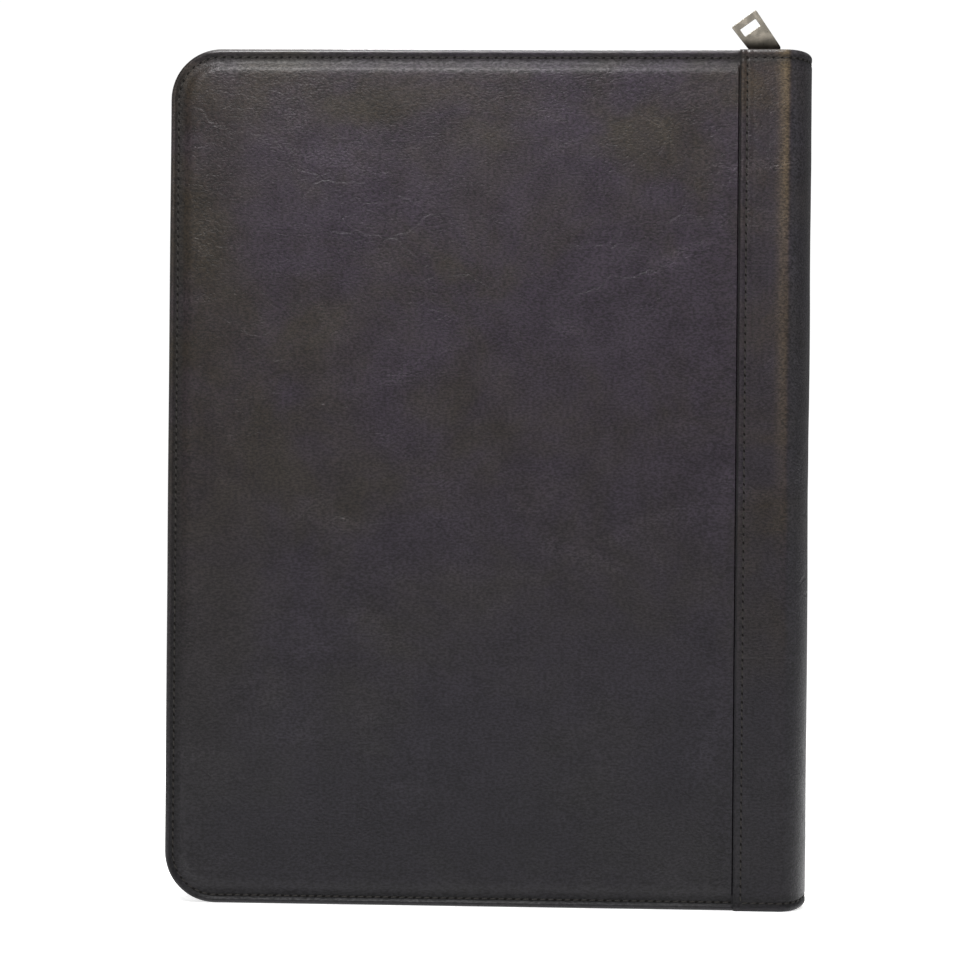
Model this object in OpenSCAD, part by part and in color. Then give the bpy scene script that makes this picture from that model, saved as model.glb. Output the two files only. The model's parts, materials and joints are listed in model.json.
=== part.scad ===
// Zip-around portfolio case for A4 sheets, standing upright with the spine at +X.
// Two padded covers, a rounded spine, and a zip round the three open sides.
// The origin is at the middle of the foot of the closed case, +Z up, front cover towards -Y.

/* [Case] */
// Width from the free edge to the crown of the spine
case_w = 259; // [210:1:310]
// Height of the covers and the spine
case_h = 345; // [285:1:420]
// Thickness over the spine strip
case_t = 36; // [35:1:56]
// Radius of the covers' free corners
corner_r = 20.5; // [12:0.5:30]

/* [Covers] */
// Thickness of the cover leather
leather_t = 1.4; // [0.8:0.1:1.7]
// Thickness of the stiffening boards
board_t = 2; // [1.2:0.1:2.4]
// How far the padded panel stands above the sewn margin
panel_rise = 1; // [0.6:0.1:1.1]
// Width of the sewn margin between the edge and the padded panel
margin_w = 6; // [4:0.5:10]
// Thickness of the leather hem turned over the edge of the board
hem_t = 0.6; // [0.4:0.1:1]
// Width of that hem on the inner side
hem_w = 12; // [10:0.5:20]
// Thickness of the lining
lining_t = 0.8; // [0.5:0.1:1.2]

/* [Spine] */
// How far the crown of the spine stands beyond the flat covers
spine_bulge = 12; // [10:0.5:16]
// Thickness of the leather strip that wraps the spine
strip_t = 1.2; // [1.1:0.1:1.6]
// Width of the strip's flat part on each cover
strip_flat_w = 17.7; // [12:0.5:26]
// Thickness of the board inside the spine
spine_board_t = 1.8; // [1:0.1:2.4]

/* [Zip] */
// Distance from the covers' edge to the middle of the chain
zip_inset = 8; // [7:0.1:10]
// Distance from the covers' edge to where the tape leaves the cover
tape_inset = 4.2; // [3.5:0.1:5.2]
// Thickness of the tape
tape_t = 0.7; // [0.5:0.1:1]
// Width of the tape's sewn border under the lining
tape_border_w = 5.5; // [4:0.5:7]
// Height of a tooth through the tape
tooth_h = 2.4; // [2:0.1:3]
// Reach of a tooth row along the tape
tooth_reach = 2.6; // [2:0.1:3.2]
// Gap between the two rows, where the slider's post runs
row_gap = 2; // [1.6:0.1:2.6]
// Length of a stop at the end of a row
stop_l = 2; // [1.5:0.1:2.5]

/* [Slider] */
// Length of the slider along the chain
slider_l = 10.5; // [9.5:0.1:14]
// Width of the slider across the chain
slider_w = 9.4; // [8.6:0.1:11.4]
// Thickness of each slider plate
slider_plate_t = 1; // [0.8:0.1:1.3]
// Width of the bridge that holds the link
bridge_w = 2.6; // [2:0.1:3.2]
// Distance between the two crossbars of the link
link_l = 7; // [6.8:0.1:9]
// Radius of the link's wire
link_wire_r = 0.6; // [0.5:0.05:0.75]
// Lean of the link from upright, towards the free edge
link_lean = 60; // [0:1:60]
// Length of the puller from its hole to its free end
puller_l = 19.6; // [13:0.5:30]
// Width of the puller at its free end
puller_w = 12; // [9:0.1:14.4]
// Width of the puller beside its hole
puller_neck_w = 10.7; // [8:0.1:11]
// Thickness of the puller
puller_t = 1.6; // [1.2:0.1:2]
// Lean of the puller from upright, towards the free edge
puller_lean = 36; // [35:1:85]

/* [Pockets] */
// Thickness of the pocket leather
pocket_t = 0.8; // [0.6:0.1:1]
// Depth of an empty pocket's slot
pocket_slot = 0.8; // [0.5:0.1:1.2]
// Width of a pocket's sewn rim
pocket_rim = 3; // [2:0.5:5]
// Fall of the document pocket's mouth towards the spine
document_fall = 45; // [0:1:80]
// Height of the sleeve that holds a pad's back
sleeve_h = 150; // [80:1:220]
// Number of card slots
card_count = 3; // [1:1:4]
// Width of a card slot
card_w = 98; // [90:1:120]
// Height of one card slot's leather
card_h = 34; // [28:1:50]
// Step from one card slot to the next
card_step = 13; // [8:1:18]
// Bore radius of the pen loop
pen_r = 5.4; // [4.5:0.1:5.6]
// Length of the pen loop
pen_loop_l = 22; // [15:1:40]

/* [Hidden] */
$fn = 96;
gap = 0.05;         // between layers that are glued or sewn together
fold_gap = 0.5;     // between a cover's end and the start of the fold
clear = 0.3;        // between the zip's pieces that move past each other
post_clear = 0.35;  // between the slider's post and each row
pin_clear = 0.35;   // round the link's crossbar in the puller

// Layers of a cover, as distances from the mid-plane of the case
half_t = case_t / 2;
margin_y = half_t - strip_t;
panel_y = margin_y + panel_rise;
board_out_y = margin_y - leather_t;
board_in_y = board_out_y - board_t;
hem_y = board_in_y - hem_t;
border_y = hem_y - tape_t;
lining_y = border_y - lining_t;
lining_inset = tape_inset + tape_t + 0.9;

// Places along the width
free_x = -case_w / 2;
crown_x = case_w / 2;
flat_x = crown_x - spine_bulge;
seam_x = flat_x - strip_flat_w;
corner_x = free_x + corner_r;

// The spine's outline is half an ellipse, and the strip divides where it has turned by 45
// degrees, so that each cover takes one half of a fold and the spine takes the other.
fold_turn = atan(half_t / spine_bulge);
fold_slit = 4;
flap_end = fold_turn + fold_slit / 2;
crown_end = fold_turn - fold_slit / 2;
lining_end = crown_end - 6;
board_end = crown_end - 14;
spine_board_depth = strip_t + gap;
spine_lining_depth = spine_board_depth + spine_board_t + gap;
spine_inner_depth = spine_lining_depth + lining_t;
spine_inner_x = crown_x - spine_inner_depth;
spine_lining_inset = 1.5;
spine_board_inset = 3;
function spine_point(depth, turn) =
    [flat_x + (spine_bulge - depth) * cos(turn), (half_t - depth) * sin(turn)];
function spine_arc(depth, from, to, steps) =
    [for (i = [0 : steps]) spine_point(depth, from + (to - from) * i / steps)];

// Chain and slider. The slider is closed against the spine, with a stop each side of its post.
chain_z = case_h - zip_inset;
row_y = row_gap / 2;
tape_edge_y = row_y + tooth_reach;
post_y = row_y - post_clear;
post_l = 2.2;
plate_z = tooth_h / 2 + clear;
slider_nose_x = spine_inner_x - 1;
slider_x = slider_nose_x - slider_l / 2;
slider_top_z = chain_z + plate_z + slider_plate_t;
top_stop_x = slider_nose_x - 0.2 - post_l;
tape_end = top_stop_x + stop_l + 0.1;
bottom_stop_l = 2.5 * stop_l;
bottom_stop_x = tape_end - bottom_stop_l;

// Bridge, link and puller
eye_clear = 0.45;
eye_h = 2 * (link_wire_r + eye_clear);
eye_z = slider_top_z + eye_h / 2;
bridge_t = 1.2;
bridge_foot_l = 9;
bridge_top_l = 5.4;
link_w = bridge_w + 2 * (link_wire_r + 0.4);
puller_x = slider_x - link_l * sin(link_lean);
puller_z = eye_z + link_l * cos(link_lean);
puller_neck = 1.5;
puller_tail = 2.2;
window_l = 3.6;
window_w = puller_w - 4.2;
window_end = 2.7;

// Fittings inside
pocket_edge = 14;
pen_x = free_x + 24;
pen_tab = 3.5;
pen_half_w = pen_r + pocket_t + pen_tab;
pocket_x = pen_x + pen_half_w + 5;
pocket_end_x = flat_x - 22;
card_foot_z = case_h - pocket_edge - card_h - (card_count - 1) * card_step;
thumb_r = 14;

leather_colour = [0.10, 0.09, 0.10];
strip_colour = [0.13, 0.12, 0.10];
lining_colour = [0.16, 0.14, 0.13];
board_colour = [0.55, 0.52, 0.47];
foam_colour = [0.80, 0.78, 0.72];
tape_colour = [0.05, 0.05, 0.05];
metal_colour = [0.62, 0.60, 0.56];

// A cover's own frame: x along the width, y up the height, z outwards from the mid-plane
module front_side() rotate([90, 0, 0]) children();
module back_side() mirror([0, 1, 0]) front_side() children();

// Outline of a cover, moved in from its edge on three sides, and cut off at right_x
module outline(inset, right_x) {
    r = max(corner_r - inset, 1);
    left = free_x + inset;
    translate([left + r, inset]) square([right_x - left - r, case_h - 2 * inset]);
    translate([left, inset + r]) square([2 * r, case_h - 2 * inset - 2 * r]);
    for (y = [inset + r, case_h - inset - r]) translate([left + r, y]) circle(r);
}

// A slab of that outline between two distances from the mid-plane
module slab(inset, right_x, low, high)
    translate([0, 0, low]) linear_extrude(high - low) outline(inset, right_x);

// Carries a profile, drawn as [distance from the edge, distance from the mid-plane], round the
// three open sides of a cover
module round_three_sides(top_end, bottom_end) {
    foot_run(bottom_end) children();
    translate([0, case_h, 0]) mirror([0, 1, 0]) foot_run(top_end) children();
    translate([free_x, case_h - corner_r, 0]) rotate([90, 0, 0])
        linear_extrude(case_h - 2 * corner_r) children();
}
module foot_run(end_x) {
    translate([corner_x, 0, 0]) rotate([90, 0, 90]) linear_extrude(end_x - corner_x) children();
    translate([corner_x, corner_r, 0]) rotate([0, 0, 180]) rotate_extrude(angle = 90)
        translate([corner_r, 0]) mirror([1, 0]) children();
}

// Covers
module cover_leather() color(leather_colour) difference() {
    union() {
        slab(0, flat_x - fold_gap, hem_y, margin_y);
        slab(margin_w, seam_x - gap, margin_y - leather_t, panel_y);
    }
    slab(leather_t, flat_x, board_in_y, board_out_y);
    slab(hem_w, flat_x, hem_y - 1, board_in_y + gap);
    slab(margin_w + leather_t, seam_x - leather_t, board_out_y - gap, panel_y - leather_t);
}
module cover_foam() color(foam_colour)
    slab(margin_w + leather_t + gap, seam_x - leather_t - gap, board_out_y + gap,
        panel_y - leather_t - gap);
module cover_board() color(board_colour)
    slab(leather_t + gap, flat_x - 4, board_in_y + gap, board_out_y - gap);
module cover_lining() color(lining_colour)
    slab(lining_inset, flat_x - 1, lining_y, border_y - gap);

// The strip's part on a cover, from the seam round the first half of the fold
module spine_flap() color(strip_colour) linear_extrude(case_h) polygon(concat(
    [[seam_x, half_t], [flat_x, half_t]],
    spine_arc(0, 85, flap_end, 5),
    spine_arc(strip_t - gap, flap_end, 85, 5),
    [[flat_x, margin_y + gap], [seam_x, margin_y + gap]]));

// Spine
module spine_shell(depth, thickness, end, inset, steps)
    translate([0, 0, inset]) linear_extrude(case_h - 2 * inset) polygon(concat(
        spine_arc(depth, -end, end, steps), spine_arc(depth + thickness, end, -end, steps)));
module spine_leather() color(strip_colour) spine_shell(0, strip_t, crown_end, 0, 24);
module spine_board() color(board_colour)
    spine_shell(spine_board_depth, spine_board_t, board_end, spine_board_inset, 16);
module spine_lining() color(lining_colour)
    spine_shell(spine_lining_depth, lining_t, lining_end, spine_lining_inset, 18);

// Zip. The tape's ends are cut to the inside of the spine.
module zip_tape() color(tape_colour) intersection() {
    round_three_sides(tape_end, tape_end) polygon([
        [tape_inset, hem_y - gap], [tape_inset + tape_border_w, hem_y - gap],
        [tape_inset + tape_border_w, border_y], [tape_inset + tape_t, border_y],
        [zip_inset + tape_t / 2, tape_edge_y], [zip_inset - tape_t / 2, tape_edge_y],
        [tape_inset, border_y]]);
    translate([0, case_h + 1, 0]) rotate([90, 0, 0]) linear_extrude(case_h + 2)
        polygon(concat([[free_x - 1, 0]], spine_arc(spine_inner_depth + 0.6, 0, 90, 16),
            [[flat_x, half_t], [free_x - 1, half_t]]));
}
module zip_teeth() color(metal_colour)
    round_three_sides(top_stop_x - clear, bottom_stop_x - clear)
        translate([zip_inset - tooth_h / 2, row_y]) square([tooth_h, tooth_reach - gap]);
module top_stop() color(metal_colour)
    translate([top_stop_x, chain_z - tooth_h / 2, row_y]) cube([stop_l, tooth_h, tooth_reach - gap]);
module zip_bottom_stop() color(metal_colour)
    translate([bottom_stop_x, -post_y, zip_inset - tooth_h / 2])
        cube([bottom_stop_l, post_y + tape_edge_y - gap, tooth_h]);

// Slider: two plates joined by a post at the nose, which leads when the zip closes
module slider_plate() linear_extrude(slider_plate_t) polygon([
    [-slider_l / 2, -slider_w * 0.36], [0, -slider_w / 2], [slider_l * 0.36, -slider_w / 2],
    [slider_l / 2, -slider_w * 0.3], [slider_l / 2, slider_w * 0.3],
    [slider_l * 0.36, slider_w / 2], [0, slider_w / 2], [-slider_l / 2, slider_w * 0.36]]);
module slider_body() color(metal_colour) translate([slider_x, 0, chain_z]) {
    for (z = [plate_z, -plate_z - slider_plate_t]) translate([0, 0, z]) slider_plate();
    translate([top_stop_x - slider_x, -post_y, -plate_z]) cube([post_l, 2 * post_y, 2 * plate_z]);
}
module slider_bridge() color(metal_colour)
    translate([slider_x, bridge_w / 2, slider_top_z + gap]) rotate([90, 0, 0])
        linear_extrude(bridge_w) difference() {
            polygon([[-bridge_foot_l / 2, 0], [-bridge_top_l / 2, eye_h + bridge_t],
                [bridge_top_l / 2, eye_h + bridge_t], [bridge_foot_l / 2, 0]]);
            translate([-eye_h / 2 - 0.4, -1]) square([eye_h + 0.8, eye_h + 1]);
        }

// Link: a closed wire loop, one crossbar under the bridge and one through the puller
module puller_link() color(metal_colour)
    translate([slider_x, 0, eye_z]) rotate([0, -link_lean, 0]) {
        for (z = [0, link_l]) translate([0, 0, z]) rotate([90, 0, 0])
            cylinder(h = link_w + 2 * link_wire_r, r = link_wire_r, center = true);
        for (y = [-1, 1]) translate([0, y * link_w / 2, 0]) cylinder(h = link_l, r = link_wire_r);
    }

// Puller: a flat tapering plate with a window near its free end
module puller_outline() difference() {
    polygon([[-puller_w / 2, puller_l], [puller_w / 2, puller_l],
        [puller_neck_w / 2, puller_neck], [puller_tail, -puller_tail],
        [-puller_tail, -puller_tail], [-puller_neck_w / 2, puller_neck]]);
    circle(link_wire_r + pin_clear);
    translate([-window_w / 2, puller_l - window_end - window_l]) square([window_w, window_l]);
}
module puller() color(metal_colour) translate([puller_x, 0, puller_z])
    rotate([0, -puller_lean, 0]) translate([0, puller_t / 2, 0]) rotate([90, 0, 0])
        linear_extrude(puller_t) puller_outline();

// A pocket is a leather panel on a sewn rim that keeps its slot open at the top
module pocket(width, height, fall) {
    outer = [[0, 0], [width, 0], [width, height - fall], [0, height]];
    base = lining_y - gap;
    translate([0, 0, base - pocket_slot - pocket_t]) linear_extrude(pocket_t) polygon(outer);
    translate([0, 0, base - pocket_slot - gap]) linear_extrude(pocket_slot + gap) difference() {
        polygon(outer);
        translate([pocket_rim, pocket_rim]) square([width - 2 * pocket_rim, height]);
    }
}
module document_pocket() color(leather_colour) translate([pocket_x, pocket_edge, 0])
    pocket(pocket_end_x - pocket_x, card_foot_z - 8 - pocket_edge, document_fall);
module pad_sleeve() color(leather_colour) difference() {
    translate([pocket_x, pocket_edge, 0]) pocket(pocket_end_x - pocket_x, sleeve_h, 0);
    translate([(pocket_x + pocket_end_x) / 2, pocket_edge + sleeve_h, 0])
        cylinder(h = half_t, r = thumb_r);
}
module card_slots() color(leather_colour) for (i = [0 : card_count - 1])
    translate([pocket_x, card_foot_z + (card_count - 1 - i) * card_step,
        lining_y - (i + 1) * (pocket_t + gap)]) cube([card_w, card_h, pocket_t]);
module pen_loop() color(leather_colour) difference() {
    translate([pen_x, (case_h - pen_loop_l) / 2, lining_y - gap - pocket_t]) union() {
        translate([0, 0, -pen_r]) rotate([-90, 0, 0]) cylinder(h = pen_loop_l, r = pen_r + pocket_t);
        translate([-pen_half_w, 0, 0]) cube([2 * pen_half_w, pen_loop_l, pocket_t]);
    }
    translate([pen_x, (case_h - pen_loop_l) / 2 - 1, lining_y - gap - pocket_t - pen_r])
        rotate([-90, 0, 0]) cylinder(h = pen_loop_l + 2, r = pen_r);
}

back_side() cover_leather();  // back_cover_leather
back_side() cover_foam();  // back_cover_foam
back_side() cover_board();  // back_cover_board
back_side() cover_lining();  // back_lining
spine_flap();  // back_spine_flap
back_side() zip_tape();  // back_zip_tape
back_side() zip_teeth();  // back_zip_teeth
back_side() top_stop();  // back_top_stop
zip_bottom_stop();
back_side() pad_sleeve();
spine_leather();
spine_board();
spine_lining();
front_side() cover_leather();  // front_cover_leather
front_side() cover_foam();  // front_cover_foam
front_side() cover_board();  // front_cover_board
front_side() cover_lining();  // front_lining
mirror([0, 1, 0]) spine_flap();  // front_spine_flap
front_side() zip_tape();  // front_zip_tape
front_side() zip_teeth();  // front_zip_teeth
front_side() top_stop();  // front_top_stop
front_side() document_pocket();
front_side() card_slots();
front_side() pen_loop();
slider_body();
slider_bridge();
puller_link();
puller();
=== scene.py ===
import json
import math

import bmesh
import bpy
from mathutils import Matrix, Vector, noise


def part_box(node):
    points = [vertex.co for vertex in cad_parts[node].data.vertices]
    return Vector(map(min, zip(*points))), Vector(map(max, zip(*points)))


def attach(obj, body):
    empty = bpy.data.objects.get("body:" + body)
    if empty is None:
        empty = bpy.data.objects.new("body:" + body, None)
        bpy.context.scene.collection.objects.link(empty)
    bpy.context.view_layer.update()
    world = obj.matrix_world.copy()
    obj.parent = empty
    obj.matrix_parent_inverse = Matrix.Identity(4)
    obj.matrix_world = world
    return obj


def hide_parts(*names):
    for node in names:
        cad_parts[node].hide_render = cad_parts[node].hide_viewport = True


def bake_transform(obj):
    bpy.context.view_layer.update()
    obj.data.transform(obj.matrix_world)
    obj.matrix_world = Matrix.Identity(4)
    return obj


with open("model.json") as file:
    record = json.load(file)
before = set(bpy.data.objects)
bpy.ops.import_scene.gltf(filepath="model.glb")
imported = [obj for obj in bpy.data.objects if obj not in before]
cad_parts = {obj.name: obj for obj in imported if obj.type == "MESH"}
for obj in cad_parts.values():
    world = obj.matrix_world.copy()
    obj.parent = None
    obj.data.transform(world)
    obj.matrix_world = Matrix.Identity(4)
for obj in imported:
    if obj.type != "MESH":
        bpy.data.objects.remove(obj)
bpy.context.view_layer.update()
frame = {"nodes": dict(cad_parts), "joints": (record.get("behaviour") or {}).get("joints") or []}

# The script's own lengths are millimetres. A mesh is turned into metres when it is finished.
MM = 0.001


def box_mm(node):
    """Lowest and highest corner of a CAD node, in millimetres."""
    low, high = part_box(node)
    return low / MM, high / MM


# ---------------------------------------------------------------- sizes, from the frame's boxes

# The design's strip thickness and corner radius, which no box gives
STRIP_T = 1.2
CORNER_R = 20.5

_, strip_high = box_mm("spine_leather")
flap_low, _ = box_mm("front_spine_flap")
cover_low, cover_high = box_mm("front_cover_leather")
lining_low, lining_high = box_mm("front_lining")
tape_low, tape_high = box_mm("front_zip_tape")
stop_low, stop_high = box_mm("front_top_stop")
bottom_stop_low, _ = box_mm("zip_bottom_stop")
_, inner_high = box_mm("spine_lining")

HEIGHT = strip_high.z
CROWN_X = strip_high.x
FREE_X = cover_low.x
COVER_END = cover_high.x
FOLD_GAP = 0.5
FLAT_X = COVER_END + FOLD_GAP
SEAM_X = flap_low.x
HALF_T = -flap_low.y
BULGE = CROWN_X - FLAT_X
PANEL_Z = -cover_low.y
HEM_Z = -cover_high.y
MARGIN_Z = HALF_T - STRIP_T
CHAIN_Z = (stop_low.z + stop_high.z) / 2
CHAIN_INSET = HEIGHT - CHAIN_Z
TOOTH_H = stop_high.z - stop_low.z
TAPE_EDGE = -stop_low.y
LINING_Z = -lining_high.y
LINING_BACK_Z = -lining_low.y
INNER_DEPTH = CROWN_X - inner_high.x + 0.8

# Stitches, and the needle holes between them
STITCH_PITCH = 3.34
STITCH_INSET = 3.3
SEAM_STITCH = 3.0
THREAD_SHARE = 0.35
THREAD_HALF_SIZE = (0.3, 0.2)
THREAD_SLANT = Matrix.Rotation(math.radians(9), 4, "Z")
HOLE_HALF_SIZE = (0.66, 0.4, 0.17)
HOLE_SLANT = Matrix.Rotation(math.radians(24), 4, "Z")
STITCH_LIFT = 0.07
FRONT = Matrix.Rotation(math.pi / 2, 4, "X")
BACK = Matrix.Scale(-1, 4, (0, 1, 0)) @ FRONT
SIDES = {"front": FRONT, "back": BACK}
FOLD_START_SLIP = 2.0


def smooth(low, high, value):
    """0 below low, 1 above high, and an even rise between them."""
    t = min(max((value - low) / (high - low), 0), 1)
    return t * t * (3 - 2 * t)


def hump(middle, half_width, value):
    """1 at the middle, falling evenly to 0 at half_width away."""
    return 1 - smooth(0, half_width, abs(value - middle))


def ripple(x, y, wavelength, seed):
    """Even noise from -1 to 1, the same on each run."""
    return noise.noise(Vector((x / wavelength, y / wavelength, seed)))


# ---------------------------------------------------------------- pieces


def keep_rest_place(mesh):
    """Stores where each point is at rest, so that a finish stays put when a fold bends the piece."""
    rest = mesh.attributes.get("place") or mesh.attributes.new("place", "FLOAT_VECTOR", "POINT")
    rest.data.foreach_set("vector", [c for v in mesh.vertices for c in v.co])


def finish_piece(bm, name, material, place=None, body=None, sharp_deg=40, flat_over=None):
    """Makes a bmesh in millimetres an object at the origin, in metres, with its rest place kept for
    materials. Faces of more than flat_over square millimetres are shaded flat."""
    if place is not None:
        bm.transform(place)
    bm.transform(Matrix.Scale(MM, 4))
    bmesh.ops.recalc_face_normals(bm, faces=bm.faces)
    for face in bm.faces:
        face.smooth = flat_over is None or face.calc_area() < flat_over * MM * MM
    for edge in bm.edges:
        edge.smooth = edge.calc_face_angle(0) < math.radians(sharp_deg)
    mesh = bpy.data.meshes.new(name)
    bm.to_mesh(mesh)
    bm.free()
    keep_rest_place(mesh)
    mesh.materials.append(material)
    piece = bpy.data.objects.new(name, mesh)
    bpy.context.scene.collection.objects.link(piece)
    if body:
        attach(piece, body)
    return piece


def apply_modifiers(piece):
    """Replaces a piece's mesh by what its modifiers make of it."""
    evaluated = piece.evaluated_get(bpy.context.evaluated_depsgraph_get())
    mesh = bpy.data.meshes.new_from_object(evaluated)
    piece.modifiers.clear()
    piece.data = mesh
    keep_rest_place(mesh)


def bevel(bm, geom, width, segments, affect="EDGES", clamp=False):
    """Breaks edges or rounds corners, evenly."""
    bmesh.ops.bevel(bm, geom=geom, offset=width, segments=segments, profile=0.5, affect=affect,
                    material=-1, clamp_overlap=clamp)


class OutlinePath:
    """Walks the three open sides of a cover at some inset: along the top from right to left, down the
    free side, and along the foot to the right. at() gives a point, its direction and the inward normal."""

    def __init__(self, inset, top_x, foot_x):
        self.inset, self.top_x = inset, top_x
        self.radius = CORNER_R - inset
        self.corner_x = FREE_X + CORNER_R
        self.side = HEIGHT - 2 * CORNER_R
        arc = self.radius * math.pi / 2
        self.lengths = [top_x - self.corner_x, arc, self.side, arc, foot_x - self.corner_x]
        self.total = sum(self.lengths)

    def at(self, s):
        lengths = self.lengths
        if s <= lengths[0]:
            return (self.top_x - s, HEIGHT - self.inset), (-1, 0), (0, -1)
        s -= lengths[0]
        if s <= lengths[1]:
            turn = s / self.radius
            out = (-math.sin(turn), math.cos(turn))
            centre = (self.corner_x, HEIGHT - CORNER_R)
            return self._arc(centre, out)
        s -= lengths[1]
        if s <= lengths[2]:
            return (FREE_X + self.inset, HEIGHT - CORNER_R - s), (0, -1), (1, 0)
        s -= lengths[2]
        if s <= lengths[3]:
            turn = s / self.radius
            out = (-math.cos(turn), -math.sin(turn))
            return self._arc((self.corner_x, CORNER_R), out)
        return (self.corner_x + s - lengths[3], self.inset), (1, 0), (0, 1)

    def _arc(self, centre, out):
        point = (centre[0] + out[0] * self.radius, centre[1] + out[1] * self.radius)
        return point, (-out[1], out[0]), (-out[0], -out[1])


def ball_mesh():
    """A ball of a few dozen faces, which is pressed into each stitch and needle hole."""
    bm = bmesh.new()
    bmesh.ops.create_uvsphere(bm, u_segments=8, v_segments=5, radius=1)
    mesh = bpy.data.meshes.new("ball")
    bm.to_mesh(mesh)
    bm.free()
    return mesh


ball = ball_mesh()


def stamp(bm, shape, place):
    """Adds a copy of a mesh at a place."""
    copy = shape.copy()
    copy.transform(place)
    bm.from_mesh(copy)
    bpy.data.meshes.remove(copy)


def add_stitch(threads, holes, point, along, out, pitch=STITCH_PITCH):
    """Adds one thread segment, and the needle hole that it goes into."""
    across = out.cross(along).normalized()
    turned = Matrix((along, across, out)).transposed().to_4x4()
    place = Matrix.Translation(point) @ turned
    size = Matrix.Diagonal((pitch * THREAD_SHARE, *THREAD_HALF_SIZE, 1))
    stamp(threads, ball, place @ THREAD_SLANT @ size)
    step = Matrix.Translation((pitch / 2, 0, 0))
    stamp(holes, ball, place @ step @ HOLE_SLANT @ Matrix.Diagonal((*HOLE_HALF_SIZE, 1)))


def finish_stitches(threads, holes, name, place=None, body=None):
    """The threads of a seam, and the near-black blobs of painted shade at its needle holes, as two pieces.
    """
    row = finish_piece(threads, name, thread_finish, place, body)
    pits = finish_piece(holes, name + "_holes", hole_shade_finish, place, body)
    return row, pits


def stitched_line(name, corners, out_z, place, body):
    """A straight-sided stitch row through corners, which are [x, y] in a cover's own frame."""
    threads, holes = bmesh.new(), bmesh.new()
    for start, end in zip(corners, corners[1:]):
        run = Vector((end[0] - start[0], end[1] - start[1], 0))
        count = max(1, round(run.length / STITCH_PITCH))
        for i in range(count):
            middle = Vector((*start, out_z)) + run * (i + 0.5) / count
            add_stitch(threads, holes, middle, run.normalized(), Vector((0, 0, -1)), run.length / count)
    finish_stitches(threads, holes, name, place, body)


# ---------------------------------------------------------------- finishes


class Value:
    """A shader socket that takes part in sums, so that shader maths reads as plain expressions."""

    def __init__(self, finish, socket):
        self.finish, self.socket = finish, socket

    def math(self, operation, *others):
        inputs = dict(enumerate((self, *others)))
        return self.finish.add("ShaderNodeMath", {"operation": operation}, inputs)

    def __add__(self, other):
        return self.math("ADD", other)

    def __radd__(self, other):
        return self.math("ADD", other)

    def __sub__(self, other):
        return self.math("SUBTRACT", other)

    def __rsub__(self, other):
        return self.finish.add("ShaderNodeMath", {"operation": "SUBTRACT"}, {0: other, 1: self})

    def __mul__(self, other):
        return self.math("MULTIPLY", other)

    def __rmul__(self, other):
        return self.math("MULTIPLY", other)

    def __truediv__(self, other):
        return self.math("DIVIDE", other)

    def sine(self):
        return self.math("SINE")

    def between(self, low, high):
        """0 at low, 1 at high, eased."""
        settings = {"interpolation_type": "SMOOTHSTEP"}
        return self.finish.add("ShaderNodeMapRange", settings, {0: self, 1: low, 2: high})


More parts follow.
